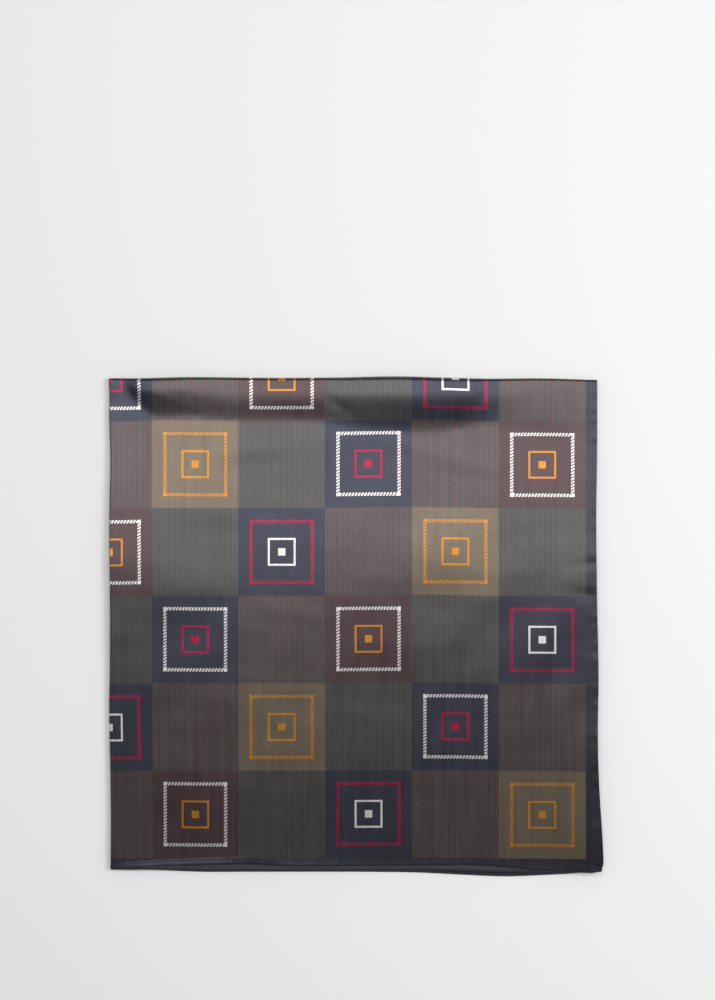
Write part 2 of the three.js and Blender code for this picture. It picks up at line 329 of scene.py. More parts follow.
def creases(across, down):
    """Soft ridges and troughs: each is a bell curve across its line, fading along it."""
    total = 0
    for mid_across, mid_down, direction, length, width, height in CREASES:
        a, b = across / MM - mid_across, mid_down - down / MM
        along = a * math.cos(math.radians(direction)) + b * math.sin(math.radians(direction))
        aside = b * math.cos(math.radians(direction)) - a * math.sin(math.radians(direction))
        total = total + height * MM * np.exp(-((along / length) ** 2) - (aside / width) ** 2)
    return total


def unevenness(across, down):
    """The faint restlessness of smooth cloth: many low sine waves of mixed lengths and directions,
    each with the same slope, on places that are themselves bent a little out of line."""
    random = np.random.default_rng(UNEVEN_SEED)
    bent_across = across + BEND_ACROSS * np.sin(down / BEND_ACROSS_LENGTH)
    bent_down = down + BEND_DOWN * np.sin(across / BEND_DOWN_LENGTH)
    total = 0
    for _ in range(UNEVEN_WAVES):
        length = UNEVEN_LENGTHS[0] * (UNEVEN_LENGTHS[1] / UNEVEN_LENGTHS[0]) ** random.random()
        direction, phase = random.uniform(0, math.pi), random.uniform(0, 2 * math.pi)
        along = bent_across * math.cos(direction) + bent_down * math.sin(direction)
        wave = np.sin(2 * math.pi * along / length + phase)
        total = total + UNEVEN_SLOPE * length / (2 * math.pi) * wave
    return total


def blunted(u, v):
    """Places near a corner of the cloth drawn in a little, where the two hems make it round."""
    to_corner = 2 * FOLDED_SIDE - np.abs(u) - np.abs(v)
    near = BLUNT_INSET * eased(1 - to_corner / BLUNT_REACH)
    return u - np.sign(u) * near, v - np.sign(v) * near


def layer_shares(upper, outer):
    """How much a point belongs to each layer, from its two places among them."""
    return {
        "top": upper * outer,
        "second": upper * (1 - outer),
        "third": (1 - upper) * (1 - outer),
        "under": (1 - upper) * outer,
    }


def hem_waves(across, down, shares):
    """Sine waves along the open hems, one rhythm for each layer, fading away from the hem."""
    side = np.exp(-np.maximum(FOLDED_SIDE - across, 0) / HEM_WAVE_REACH)
    side = side * eased(down / HEM_WAVE_START)
    lower = np.exp(-np.maximum(FOLDED_SIDE - down, 0) / HEM_WAVE_REACH)
    lower = lower * eased(across / HEM_WAVE_START)
    total = 0
    for layer, height, side_length, lower_length, phase in HEM_WAVES:
        a = side * np.sin(2 * math.pi * down / MM / side_length + phase)
        b = lower * np.sin(2 * math.pi * across / MM / lower_length + 2 * phase)
        total = total + shares[layer] * height * MM * (a + b) / 2
    return total


def strayed(table, at, shares):
    """A hem's stray where the four layers meet: each layer's own, weighted by its share."""
    return sum(shares[layer] * column(table, layer, at) for layer in shares)


print(len(CREASES), "creases placed by hand,", UNEVEN_WAVES, "low waves over the upper layers")

# %% [markdown]
# ## The whole cloth as one function
#
# Now the cloth can be asked for any point: give it u and v, and how far the point lies off the
# middle of the cloth, and it answers with a place. The sheet, its hem and every stitch use it, so
# they agree wherever the cloth goes. The normal comes from four more questions a hair's breadth
# away, which is slower than a formula but stays true whatever is added to the shape later.

# %% The cloth's middle and its two faces
HAIR = 0.02 * MM


def middle(u, v):
    """The place of the cloth's middle surface at u and v, before it is moved to the frame.

    The first fold gives the place across and the turn. The second gives the pair's line at that
    place. The layer is set off along the line's normal by the sine of the turn. The strays move it
    level, by a power of its distance from the opposite edge, so that they are felt near the edge.
    """
    u, v = blunted(u, v)
    across, turn = first_fold(u)
    down, height, out_y, out_z, upper = second_fold(v, across)
    off = LAYER_PITCH / 2 * np.sin(turn)
    outer = (1 + np.sin(turn)) / 2
    shares = layer_shares(upper, outer)
    down = down - off * out_y
    height = height + off * out_z
    height = height + hem_waves(across, down, shares)
    near_lower_hem = 1 - (FOLDED_SIDE - down) / LOWER_LIFT_REACH
    near_lower_hem = np.clip(near_lower_hem, 0, 1) ** LOWER_LIFT_POWER
    loose = creases(across, down) + near_lower_hem * column(LOWER_HEM_LIFT, "up", across)
    height = height + shares["top"] * loose + upper * unevenness(across, down)
    a, d = across / FOLDED_SIDE, down / FOLDED_SIDE
    x = across + a**STRAY_NEARNESS * strayed(SIDE_HEM_STRAY, down, shares)
    x = x - (1 - a) ** STRAY_NEARNESS * column(FIRST_FOLD_STRAY, "out", down)
    y = -down - d**STRAY_NEARNESS * strayed(LOWER_HEM_STRAY, across, shares)
    y = y + (1 - d) ** STRAY_NEARNESS * column(SECOND_FOLD_STRAY, "out", across)
    return np.stack([x, y, height], axis=-1)


def print_place(u, v):
    """Where the print is asked for at u and v: as far out as the hem strays, so that the print's
    own lines stay straight and its plain border takes up the unevenness, as on the real scarf."""
    across, turn = first_fold(u)
    down, _, _, _, upper = second_fold(v, across)
    shares = layer_shares(upper, (1 + np.sin(turn)) / 2)
    a, d = across / FOLDED_SIDE, down / FOLDED_SIDE
    out_u = a**STRAY_NEARNESS * strayed(SIDE_HEM_STRAY, down, shares)
    out_v = d**STRAY_NEARNESS * strayed(LOWER_HEM_STRAY, across, shares)
    return u + np.sign(u) * out_u, v + np.sign(v) * out_v


def cloth(u, v, off):
    """The place at u and v, off the cloth's middle by a distance towards the printed face."""
    u, v = np.broadcast_arrays(np.asarray(u, float), np.asarray(v, float))
    along_u = middle(u + HAIR, v) - middle(u - HAIR, v)
    along_v = middle(u, v + HAIR) - middle(u, v - HAIR)
    normal = np.cross(along_v, along_u)
    normal = normal / np.linalg.norm(normal, axis=-1, keepdims=True)
    return middle(u, v) + np.asarray(off)[..., None] * normal


print("the middle of the top layer, mm:", (cloth(0.225, 0.225, 0.0) / MM).round(1))

# %% [markdown]
# ## The hem
#
# A scarf's hem is the cloth's own edge turned under twice and stitched down, so it is part of the
# sheet: over its last few millimetres the sheet grows to three times its thickness, mostly on the
# back, where the turned edge ends in a small step. The stitches pull a shallow groove into both
# faces and pucker the cloth beside it.

# %% Thickness near the hem
HEM_FRONT = {
    "at": [0, 0.35, 1.2, 3.0, 3.9, 4.8, 6.0, 9.0],
    "off": [0.16, 0.27, 0.30, 0.28, 0.22, 0.23, 0.18, 0.16],
}
HEM_BACK = {
    "at": [0, 0.35, 1.2, 3.0, 3.9, 4.5, 4.9, 9.0],
    "off": [0.16, 0.38, 0.48, 0.46, 0.38, 0.40, 0.16, 0.16],
}
PUCKERS = [
    # wave length in mm, share of the height, phase
    (9.1, 0.7, 0.3),
    (13.7, 1.0, 2.0),
    (21.0, 0.8, 4.4),
]
PUCKER_SHIFT = 0.31  # metres along, so that the lower hems don't repeat the side hems
PUCKER_HEIGHT = 0.09 * MM
PUCKER_REACH = 7 * MM


def edge_distance(u, v):
    """How far a point of the cloth is from its nearest hem, along the cloth."""
    return np.maximum(FOLDED_SIDE - np.maximum(np.abs(u), np.abs(v)), 0)


def puckers(u, v):
    """Small waves along each hem, the sum of a few lengths so that they never repeat evenly."""
    def waves(along):
        return sum(s * np.sin(2 * math.pi * along / MM / n + p) for n, s, p in PUCKERS)

    beside_u = np.exp(-((FOLDED_SIDE - np.abs(u)) / PUCKER_REACH) ** 2) * waves(v)
    beside_v = np.exp(-((FOLDED_SIDE - np.abs(v)) / PUCKER_REACH) ** 2) * waves(u + PUCKER_SHIFT)
    return PUCKER_HEIGHT * (beside_u + beside_v)


def front_off(u, v):
    """How far the printed face lies off the cloth's middle."""
    return column(HEM_FRONT, "off", edge_distance(u, v)) + puckers(u, v)


def back_off(u, v):
    """How far the back lies off the cloth's middle, on the other side."""
    return -column(HEM_BACK, "off", edge_distance(u, v)) + puckers(u, v)


print("the sheet is", 2 * HEM_FRONT["off"][-1], "mm thick, and its hem",
      round(max(HEM_FRONT["off"]) + max(HEM_BACK["off"]), 2), "mm")

# %% [markdown]
# ## The sheet's grid
#
# A regular grid would waste its faces on the hidden layers and miss the folds and hems. The lines
# of this grid are close where the surface turns or steps, a few millimetres apart over the top
# layer, and wide apart on the layers that nobody sees.

# %% Where the grid's lines lie
HEM_LINES = [20, 15, 11, 8, 6.6, 5.6, 5.0, 4.7, 4.4, 4.1, 3.8, 3.3, 2.4, 1.3, 0.6, 0.25, 0]
HIDDEN_HEM_LINES = [20, 10, 6, 5, 4.6, 4.2, 3.8, 3.0, 1.6, 0.5, 0]
# Stretches out from a fold: where each ends and the step between its lines, in mm
SEEN_STRETCHES_U = [(1.3, 0.33), (7, 1.9), (426, 3.4)]
HIDDEN_STRETCHES_U = [(1.3, 0.33), (7, 2.9), (428, 12)]
SEEN_STRETCHES_V = [(6, 0.6), (64, 2.1), (426, 3.5)]
HIDDEN_STRETCHES_V = [(6, 0.6), (12, 3), (428, 12)]


def lines_to_hem(stretches, hem_lines):
    """Distances from a fold out to the hem: even steps over each stretch, then the hem's own."""
    found, start = [], 0.0
    for stop, step in stretches:
        count = max(1, round((stop - start) / step))
        found += list(np.linspace(start, stop, count + 1)[1:])
        start = stop
    near_hem = [FOLDED_SIDE / MM - inset for inset in hem_lines]
    return np.array(found + [place for place in near_hem if place > start])


seen_u = lines_to_hem(SEEN_STRETCHES_U, HEM_LINES)
hidden_u = lines_to_hem(HIDDEN_STRETCHES_U, HIDDEN_HEM_LINES)
seen_v = lines_to_hem(SEEN_STRETCHES_V, HEM_LINES)
hidden_v = lines_to_hem(HIDDEN_STRETCHES_V, HIDDEN_HEM_LINES)
LINES_U = np.concatenate([-hidden_u[::-1], [0], seen_u]) * MM
LINES_V = np.concatenate([-hidden_v[::-1], [0], seen_v]) * MM
print("grid lines:", len(LINES_U), "by", len(LINES_V))

# %% [markdown]
# ## From grids to one closed mesh
#
# The printed face and the back are two grids of the same lines. A rim one face wide joins them
# round the four hems, so the sheet is a closed body with its normals outwards. A Solidify modifier
# would close it as well, but not with a hem that is thicker on its back. Each vertex keeps the u
# and v of its print as its UV, in metres, so that the print follows the cloth round its folds, and
# an attribute says which face it belongs to, because satin is shiny on one side only.

# %% Helpers that build a mesh
def grid_faces(rows, columns, first, flip):
    """The quads of a grid of rows by columns vertices that starts at a vertex number."""
    at = first + np.arange(rows * columns).reshape(rows, columns)
    quads = np.stack([at[:-1, :-1], at[:-1, 1:], at[1:, 1:], at[1:, :-1]], axis=-1).reshape(-1, 4)
    return quads[:, ::-1] if flip else quads


def rim_faces(rows, columns, second):
    """The quads that join two equal grids round their border, the second one's numbers later."""
    at = np.arange(rows * columns).reshape(rows, columns)
    border = np.concatenate([at[0, :-1], at[:-1, -1], at[-1, :0:-1], at[:0:-1, 0]])
    after = np.roll(border, -1)
    return np.stack([after, border, border + second, after + second], axis=-1)


def mesh_object(name, points, faces):
    """A smooth-shaded mesh object at the origin, from arrays of points and quads."""
    mesh = bpy.data.meshes.new(name)
    mesh.from_pydata(points.tolist(), [], faces.tolist())
    mesh.shade_smooth()
    made = bpy.data.objects.new(name, mesh)
    bpy.context.scene.collection.objects.link(made)
    return made


def per_corner_uv(mesh, name, places):
    """Gives every corner of a mesh the UV of its vertex."""
    corner = np.zeros(len(mesh.loops), np.int32)
    mesh.loops.foreach_get("vertex_index", corner)
    mesh.uv_layers.new(name=name).data.foreach_set("uv", places[corner].astype(np.float32).ravel())


print("the rim of a 3 by 4 grid has", len(rim_faces(3, 4, 12)), "faces")

# %% The satin sheet
U, V = np.meshgrid(LINES_U, LINES_V)
front = cloth(U, V, front_off(U, V)).reshape(-1, 3)
back = cloth(U, V, back_off(U, V)).reshape(-1, 3)
points = np.concatenate([front, back])
rows, columns = U.shape
faces = np.concatenate([
    grid_faces(rows, columns, 0, flip=True),
    grid_faces(rows, columns, rows * columns, flip=False),
    rim_faces(rows, columns, rows * columns),
])

CAD_MIDDLE = (np.array(CAD_LOW) + np.array(CAD_HIGH)) / 2
own_middle = (points.min(axis=0) + points.max(axis=0)) / 2
PLACE = np.array([CAD_MIDDLE[0] - own_middle[0], CAD_MIDDLE[1] - own_middle[1], 0.0])
PLACE[2] = CAD_LOW[2] - points[:, 2].min()

scarf = mesh_object("headscarf_satin", points + PLACE, faces)
flat_places = np.stack([place.ravel() for place in print_place(U, V)], axis=-1)
per_corner_uv(scarf.data, "cloth", np.concatenate([flat_places, flat_places]))
is_back = np.repeat([0.0, 1.0], rows * columns).astype(np.float32)
scarf.data.attributes.new("back", "FLOAT", "POINT").data.foreach_set("value", is_back)
print("scarf:", len(scarf.data.polygons) * 2, "triangles, moved to the frame by", PLACE / MM)

# %% [markdown]
# ## The hem's stitches
#
# A machine stitch is a short thread that comes up, lies on the cloth and goes down again. At this
# size it is a spindle a quarter of a millimetre thick. One spindle is a small grid of rings, and
# all the stitches are that grid set along the hem lines at once, on both faces. Each corner of a
# face also gets its place along the thread and round it as a UV, for the twist of the yarn.

# %% Stitches along the four hems
STITCH_LENGTH = 2.1 * MM
STITCH_PITCH = 2.9 * MM
THREAD_RADIUS = 0.13 * MM
STITCH_START = 2 * MM
THREAD_RISE = 0.35
END_SINK = 1.5
RING_SIDES = 5
RING_PLACES = np.array([-0.5, -0.32, 0.0, 0.32, 0.5])
RING_WIDTHS = np.array([0.25, 0.85, 1.0, 0.85, 0.25])


def stitch_lines():
    """The middle u and v of every stitch, and whether it runs along u or along v."""
    line = FOLDED_SIDE - STITCH_INSET
    along = np.arange(-line + STITCH_START, line - STITCH_START, STITCH_PITCH)
    ends = np.full_like(along, line)
    u = np.concatenate([along, along, ends, -ends])
    v = np.concatenate([ends, -ends, along, along])
    return u, v, np.repeat([True, False], 2 * len(along))


def stitches(side):
    """Points, quads and UVs of all the stitches of one face, side 1 for front and -1 for back.

    Ring k of a stitch lies at its share of the length along the hem. Round the ring, the point
    at angle t is off to the side by the cosine of t and off the face by its sine. The narrow
    rings at its ends sink into the cloth by what they lack of the full radius, times END_SINK.
    """
    u, v, runs_along_u = stitch_lines()
    angle = 2 * math.pi * np.arange(RING_SIDES) / RING_SIDES
    along = (RING_PLACES * STITCH_LENGTH)[None, :, None]
    aside = THREAD_RADIUS * RING_WIDTHS[None, :, None] * np.cos(angle)[None, None, :]
    above = THREAD_RADIUS * RING_WIDTHS[None, :, None] * np.sin(angle)[None, None, :]
    along, aside, above = np.broadcast_arrays(along, aside, above)
    flag = runs_along_u[:, None, None]
    pu = u[:, None, None] + np.where(flag, along, aside)
    pv = v[:, None, None] + np.where(flag, aside, along)
    surface = front_off(pu, pv) if side > 0 else back_off(pu, pv)
    sink = (1 - RING_WIDTHS[None, :, None]) * THREAD_RADIUS * END_SINK
    off = surface + side * (above + THREAD_RISE * THREAD_RADIUS - sink)
    points = cloth(pu, pv, off)
    count, rings, sides = pu.shape
    at = np.arange(count * rings * sides).reshape(count, rings, sides)
    next_at = np.roll(at, -1, 2)
    walls = np.stack([at[:, :-1], next_at[:, :-1], next_at[:, 1:], at[:, 1:]], -1)
    ring, spoke = np.meshgrid(np.arange(rings - 1), np.arange(sides), indexing="ij")
    length_at = RING_PLACES[np.stack([ring, ring, ring + 1, ring + 1], -1)] * STITCH_LENGTH
    round_at = np.stack([spoke, spoke + 1, spoke + 1, spoke], -1)
    round_at = round_at * 2 * math.pi * THREAD_RADIUS / sides
    spots = np.tile(np.stack([length_at, round_at], -1), (count, 1, 1, 1, 1))
    spots[..., 0] += (np.arange(count) * STITCH_PITCH)[:, None, None, None]
    turned = (np.where(runs_along_u, 1, -1) * side > 0)[:, None, None, None]
    walls = np.where(turned, walls, walls[..., ::-1])
    spots = np.where(turned[..., None], spots, spots[..., ::-1, :])
    return points.reshape(-1, 3), walls.reshape(-1, 4), spots.reshape(-1, 2)


front_points, front_walls, front_spots = stitches(1)
back_points, back_walls, back_spots = stitches(-1)
thread_points = np.concatenate([front_points, back_points]) + PLACE
thread_faces = np.concatenate([front_walls, back_walls + len(front_points)])
thread = mesh_object("hem_stitches", thread_points, thread_faces)
thread_spots = np.concatenate([front_spots, back_spots]).astype(np.float32)
thread.data.uv_layers.new(name="thread").data.foreach_set("uv", thread_spots.ravel())
spindles = len(thread_points) // (len(RING_PLACES) * RING_SIDES)
print("stitches:", spindles, "spindles,", len(thread_faces) * 2, "triangles")

# %% [markdown]
# ## The print
#
# A satin headscarf is nearly always printed, with a field of pattern inside a plain dark border.
# The pattern here is a plain one of upright square blocks. Every second block is quiet, hatched
# finely in grey or in brown by turns. The others are navy, olive, navy and burgundy in turn, and
# each of them has a dashed frame, a small plain frame and a square in its middle.
#
# A picture wrapped round the cloth would blur in a close view, so the blocks are worked out from
# the place on the cloth, and their edges stay as sharp as a printer's screen leaves them.
# Every block needs the same two numbers in each direction: which block a place is in, and how far
# it is from the block's middle. One node group answers both, and it is used twice.

# %% Colours of the print
def tone(red, green, blue):
    """The linear colour of a tone given in ordinary 0 to 255 screen numbers."""
    share = np.array([red, green, blue]) / 255
    linear = np.where(share <= 0.04045, share / 12.92, ((share + 0.055) / 1.055) ** 2.4)
    return (*linear.tolist(), 1.0)


NAVY = tone(52, 53, 65)
GREY_DARK = tone(59, 59, 61)
GREY_LIGHT = tone(79, 77, 75)
WINE_LIGHT = tone(90, 74, 73)
OLIVE = tone(99, 88, 76)
BURGUNDY = tone(72, 57, 59)
CREAM = tone(206, 200, 198)
CRIMSON = tone(156, 14, 58)
GOLD = tone(176, 116, 34)
BORDER = tone(51, 50, 60)
FADED = tone(90, 88, 92)
CLEAR = (0.0, 0.0, 0.0, 0.0)
print("navy, linear:", [round(part, 3) for part in NAVY[:3]])

# %% Sizes of the print, and what each block in turn holds
FIELD_HALF_U = 439.4 * MM
FIELD_HALF_V = 443.0 * MM
BLOCKS = 11
BLOCK_SIDE_U = 2 * FIELD_HALF_U / BLOCKS
BLOCK_SIDE_V = 2 * FIELD_HALF_V / BLOCKS
BLOCK_STEP = 3.0
BLOCK_COLOURS = [NAVY, CLEAR, OLIVE, CLEAR, NAVY, CLEAR, BURGUNDY, CLEAR]
HATCH_COLOURS = [CLEAR, GREY_LIGHT, CLEAR, WINE_LIGHT, CLEAR, GREY_LIGHT, CLEAR, WINE_LIGHT]
FRAME_COLOURS = [CREAM, CLEAR, GOLD, CLEAR, CRIMSON, CLEAR, CREAM, CLEAR]
SPOT_COLOURS = [CRIMSON, CLEAR, GOLD, CLEAR, CREAM, CLEAR, GOLD, CLEAR]
FRAME_REACH = (26.6 * MM, 29.6 * MM)
INNER_REACH = (11.0 * MM, 12.8 * MM)
SPOT_REACH = (-1.0 * MM, 3.4 * MM)
HATCH_PITCH = 2.15 * MM
HATCH_SHARE = 0.5
DASH_PITCH = 2.9 * MM
DASH_SHARE = 0.6
DASH_SLANT = 0.55
print("print:", BLOCKS, "blocks of", round(BLOCK_SIDE_U / MM, 2), "mm each way")

# %% Helpers that place shader nodes
def new_group(name, inputs, outputs):
    """An empty shader node group with named number sockets, and its input and output nodes."""
    group = bpy.data.node_groups.new(name, "ShaderNodeTree")
    for socket in inputs:
        group.interface.new_socket(socket, in_out="INPUT", socket_type="NodeSocketFloat")
    for socket in outputs:
        group.interface.new_socket(socket, in_out="OUTPUT", socket_type="NodeSocketFloat")
    return group, group.nodes.new("NodeGroupInput"), group.nodes.new("NodeGroupOutput")


def math_node(tree, operation, *values):
    """A Math node on numbers or sockets, returning its output socket."""
    made = tree.nodes.new("ShaderNodeMath")
    made.operation = operation
    for socket, value in zip(made.inputs, values):
        if isinstance(value, (int, float)):
            socket.default_value = value
        else:
            tree.links.new(value, socket)
    return made.outputs[0]


def mix_colour(tree, share, first, second, blend="MIX"):
    """A colour mixed between two by a share, each given as a value or a socket, or one colour
    times the other where the blend is MULTIPLY and the share is 1."""
    made = tree.nodes.new("ShaderNodeMix")
    made.data_type, made.blend_type = "RGBA", blend
    sockets = made.inputs[0], made.inputs[6], made.inputs[7]
    for socket, value in zip(sockets, (share, first, second)):
        if isinstance(value, (int, float, tuple)):
            socket.default_value = value
        else:
            tree.links.new(value, socket)
    return made.outputs[2]


def colours_in_turn(tree, share, colours):
    """A colour ramp of equal hard steps, with its colour and alpha as outputs."""
    ramp = tree.nodes.new("ShaderNodeValToRGB")
    ramp.color_ramp.interpolation = "CONSTANT"
    elements = ramp.color_ramp.elements
    elements.remove(elements[1])
    elements[0].position, elements[0].color = 0.0, colours[0]
    for step, colour in enumerate(colours[1:], 1):
        elements.new(step / len(colours)).color = colour
    tree.links.new(share, ramp.inputs["Fac"])
    return ramp.outputs["Color"], ramp.outputs["Alpha"]


# %% The node group that tells one block from the next
block_place, into, out = new_group("block place", ["Place", "Side"], ["Number", "From middle"])
in_blocks = math_node(block_place, "DIVIDE", into.outputs["Place"], into.outputs["Side"])
number = math_node(block_place, "FLOOR", math_node(block_place, "ADD", in_blocks, 0.5))
block_place.links.new(number, out.inputs["Number"])
off_middle = math_node(block_place, "SUBTRACT", in_blocks, number)
off_middle = math_node(block_place, "ABSOLUTE", off_middle)
off_middle = math_node(block_place, "MULTIPLY", off_middle, into.outputs["Side"])
block_place.links.new(off_middle, out.inputs["From middle"])
print("block place:", [item.name for item in block_place.interface.items_tree])

# %% [markdown]
# ## The grain of the yarn
#
# Yarn is never quite even, and cloth shows it as fine streaks. They could be painted on or drawn
# thread by thread, but noise that is stretched far along the yarn and little across it has the
# same look at any distance. The satin and the sewing thread both use it, each with its own
# lengths, so it is a node group that is built once.

# %% The grain of the yarn
yarn_grain, into, out = new_group("yarn grain", ["Along", "Aside", "Length", "Width"], ["Grain"])
in_lengths = math_node(yarn_grain, "DIVIDE", into.outputs["Along"], into.outputs["Length"])
in_widths = math_node(yarn_grain, "DIVIDE", into.outputs["Aside"], into.outputs["Width"])
stretched = yarn_grain.nodes.new("ShaderNodeCombineXYZ")
yarn_grain.links.new(in_lengths, stretched.inputs["X"])
yarn_grain.links.new(in_widths, stretched.inputs["Y"])
cloudy = yarn_grain.nodes.new("ShaderNodeTexNoise")
cloudy.noise_dimensions = "2D"
cloudy.inputs["Scale"].default_value = 1.0
cloudy.inputs["Detail"].default_value = 1.0
yarn_grain.links.new(stretched.outputs["Vector"], cloudy.inputs["Vector"])
yarn_grain.links.new(cloudy.outputs["Fac"], out.inputs["Grain"])


def grain(tree, along, aside, length, width):
    """Streaks of a length along the yarn and a width across it: a value that varies about 0.5."""
    made = tree.nodes.new("ShaderNodeGroup")
    made.node_tree = yarn_grain
    made.inputs["Length"].default_value = length
    made.inputs["Width"].default_value = width
    tree.links.new(along, made.inputs["Along"])
    tree.links.new(aside, made.inputs["Aside"])
    return made.outputs["Grain"]


def shaded(tree, colour, streaks, depth):
    """A colour made lighter and darker by streaks, with the same mean."""
    factor = math_node(tree, "MULTIPLY_ADD", streaks, depth, 1 - depth / 2)
    return mix_colour(tree, 1.0, colour, factor, "MULTIPLY")


def raised(tree, shader, streaks, height):
    """Lets streaks stand up from a surface by a height."""
    bump = tree.nodes.new("ShaderNodeBump")
    bump.inputs["Distance"].default_value = height
    tree.links.new(streaks, bump.inputs["Height"])
    tree.links.new(bump.outputs["Normal"], shader.inputs["Normal"])


print("yarn grain:", [item.name for item in yarn_grain.interface.items_tree])

# %% [markdown]
# ## The satin
#
# Satin has a bright, soft sheen, because its long threads float side by side over the printed
# face. The light goes through the dyed threads on its way, so the sheen takes the dye's colour. A
# metal's shine is coloured in the same way, so a little over half of a metallic share, with a
# moderate roughness, gives that sheen without any light painted into the colour. On the back the
# floats are short, so it is duller, and its print is a little paler.
#
# The grain changes the shade of the threads by a few hundredths and lets them stand up by a few
# thousandths of a millimetre. Longer and broader streaks of it make the roughness vary.

# %% The satin's print
def new_material(name):
    """A node material with only its Principled shader, and that shader."""
    made = bpy.data.materials.new(name)
    made.use_nodes = True
    return made, made.node_tree, made.node_tree.nodes["Principled BSDF"]


satin, tree, shader = new_material("scarf_satin")
places = tree.nodes.new("ShaderNodeUVMap")
places.uv_map = "cloth"
split = tree.nodes.new("ShaderNodeSeparateXYZ")
tree.links.new(places.outputs["UV"], split.inputs[0])
place_u, place_v = split.outputs["X"], split.outputs["Y"]


def in_block(place, side):
    """The block's number and the distance from its middle, in one direction."""
    made = tree.nodes.new("ShaderNodeGroup")
    made.node_tree = block_place
    made.inputs["Side"].default_value = side
    tree.links.new(place, made.inputs["Place"])
    return made.outputs["Number"], made.outputs["From middle"]


def stripes(place, pitch, share, slant=0.0, other=None):
    """1 on fine lines of a pitch along a place, 0 between them, slanted by the other place."""
    if other is not None:
        place = math_node(tree, "MULTIPLY_ADD", other, slant, place)
    cycle = math_node(tree, "FLOORED_MODULO", place, pitch)
    return math_node(tree, "LESS_THAN", cycle, share * pitch)


number_u, off_u = in_block(place_u, BLOCK_SIDE_U)
number_v, off_v = in_block(place_v, BLOCK_SIDE_V)
turns = float(len(BLOCK_COLOURS))
turn = math_node(tree, "SUBTRACT", math_node(tree, "MULTIPLY", number_u, BLOCK_STEP), number_v)
turn = math_node(tree, "FLOORED_MODULO", turn, turns)
turn = math_node(tree, "DIVIDE", math_node(tree, "ADD", turn, 0.5), turns)
block, in_colour = colours_in_turn(tree, turn, BLOCK_COLOURS)
frame_colour, has_frame = colours_in_turn(tree, turn, FRAME_COLOURS)
spot_colour, has_spot = colours_in_turn(tree, turn, SPOT_COLOURS)

hatch = stripes(place_u, HATCH_PITCH, HATCH_SHARE)
hatch_colour, _ = colours_in_turn(tree, turn, HATCH_COLOURS)
quiet = mix_colour(tree, hatch, GREY_DARK, hatch_colour)
ground = mix_colour(tree, in_colour, quiet, block)

ring = math_node(tree, "MAXIMUM", off_u, off_v)


def between(near, far, where):
    """1 where the ring's distance lies between two reaches in a block that has such a line."""
    outside = math_node(tree, "GREATER_THAN", ring, near)
    inside = math_node(tree, "LESS_THAN", ring, far)
    return math_node(tree, "MULTIPLY", math_node(tree, "MULTIPLY", outside, inside), where)


on_frame = between(*FRAME_REACH, has_frame)
upright = math_node(tree, "GREATER_THAN", off_u, off_v)
dashes = mix_colour(
    tree,
    upright,
    stripes(place_u, DASH_PITCH, DASH_SHARE, DASH_SLANT, place_v),
    stripes(place_v, DASH_PITCH, DASH_SHARE, DASH_SLANT, place_u),
)
nearer = math_node(tree, "MINIMUM", off_u, off_v)
on_corner = math_node(tree, "GREATER_THAN", nearer, FRAME_REACH[0])
inked = math_node(tree, "MULTIPLY", on_frame, math_node(tree, "MAXIMUM", dashes, on_corner))
framed = mix_colour(tree, inked, ground, frame_colour)
on_spot = math_node(
    tree, "MAXIMUM", between(*SPOT_REACH, has_spot), between(*INNER_REACH, has_spot)
)
spotted = mix_colour(tree, on_spot, framed, spot_colour)
past_u = math_node(tree, "GREATER_THAN", math_node(tree, "ABSOLUTE", place_u), FIELD_HALF_U)
past_v = math_node(tree, "GREATER_THAN", math_node(tree, "ABSOLUTE", place_v), FIELD_HALF_V)
in_border = math_node(tree, "MAXIMUM", past_u, past_v)
printed = mix_colour(tree, in_border, spotted, BORDER)
print("the print takes", len(tree.nodes), "nodes")

# %% The satin's two faces and its sheen
FRONT_ROUGHNESS = 0.27
BACK_ROUGHNESS = 0.45
BACK_FADE = 0.15
SHEEN_SHARE = 0.55
SPECULAR = 0.35
FLOAT_LENGTH, FLOAT_WIDTH = 11 * MM, 0.6 * MM
FLOAT_SHADE = 0.16
FLOAT_HEIGHT = 0.01 * MM
STREAK_LENGTH, STREAK_WIDTH = 110 * MM, 6 * MM
STREAK_ROUGHNESS = 0.10

face = tree.nodes.new("ShaderNodeAttribute")
face.attribute_name = "back"
faded = mix_colour(tree, BACK_FADE, printed, FADED)
dyed = mix_colour(tree, face.outputs["Fac"], printed, faded)
floats = grain(tree, place_v, place_u, FLOAT_LENGTH, FLOAT_WIDTH)
streaks = grain(tree, place_v, place_u, STREAK_LENGTH, STREAK_WIDTH)
tree.links.new(shaded(tree, dyed, floats, FLOAT_SHADE), shader.inputs["Base Color"])
raised(tree, shader, floats, FLOAT_HEIGHT)
duller = BACK_ROUGHNESS - FRONT_ROUGHNESS
least = FRONT_ROUGHNESS - STREAK_ROUGHNESS / 2
even = math_node(tree, "MULTIPLY_ADD", face.outputs["Fac"], duller, least)
roughness = math_node(tree, "MULTIPLY_ADD", streaks, STREAK_ROUGHNESS, even)
tree.links.new(roughness, shader.inputs["Roughness"])
shader.inputs["Metallic"].default_value = SHEEN_SHARE
shader.inputs["Specular IOR Level"].default_value = SPECULAR
scarf.data.materials.append(satin)
print("the satin:", len(tree.nodes), "nodes, with roughness", FRONT_ROUGHNESS, "in front")

# %% [markdown]
# ## The sewing thread
#
# The hems are sewn with plain thread in the border's colour, which is rougher than satin. It is
# twisted yarn, so the same grain is laid at a slant: along the thread less round it in one
# direction, along the thread plus round it in the other. The slanted streaks wind round the thread
# as its fibres do, with no more faces than before.

